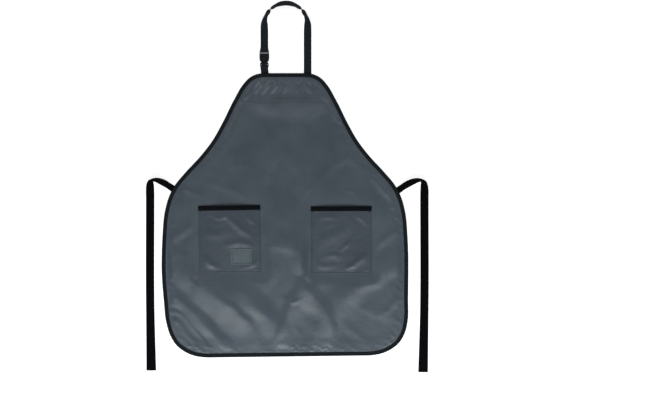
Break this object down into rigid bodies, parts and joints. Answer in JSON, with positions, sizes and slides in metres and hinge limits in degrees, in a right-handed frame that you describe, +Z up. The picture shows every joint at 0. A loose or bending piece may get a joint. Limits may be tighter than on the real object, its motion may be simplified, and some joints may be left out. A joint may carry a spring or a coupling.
{
  "type": "art apron",
  "caption": "Child's bib apron in coated cloth, laid flat: bound edge, bound patch pockets, label, webbing neck loop with a side-release buckle, and side ties.",
  "frame": {"origin": "middle of the whole part's bounding box, on the surface that it lies on", "axes": "+Z up out of the front of the apron, +Y from the hem towards the neck loop, +X to the right as the front is seen"},
  "size_m": [0.5924, 0.7788, 0.0178],
  "materials": {
    "coated_fabric": "plain-woven polyester with a thin coating, soft sheen",
    "pocket_fabric": "plain-woven polyester with a thin coating, soft sheen",
    "binding_tape": "folded woven tape, matt",
    "webbing": "flat woven webbing, matt",
    "label": "bare woven label, matt",
    "buckle_plastic": "moulded plastic, slightly rough"
  },
  "bodies": {
    "root": {"apron_panel": "coated_fabric", "edge_binding": "binding_tape", "pocket_left": "pocket_fabric", "pocket_right": "pocket_fabric", "pocket_binding_left": "binding_tape", "pocket_binding_right": "binding_tape", "label_patch": "label", "neck_strap": "webbing", "neck_strap_stub": "webbing", "tie_left": "webbing", "tie_right": "webbing", "buckle_socket": "buckle_plastic", "buckle_plug": "buckle_plastic"}
  },
  "joints": []
}
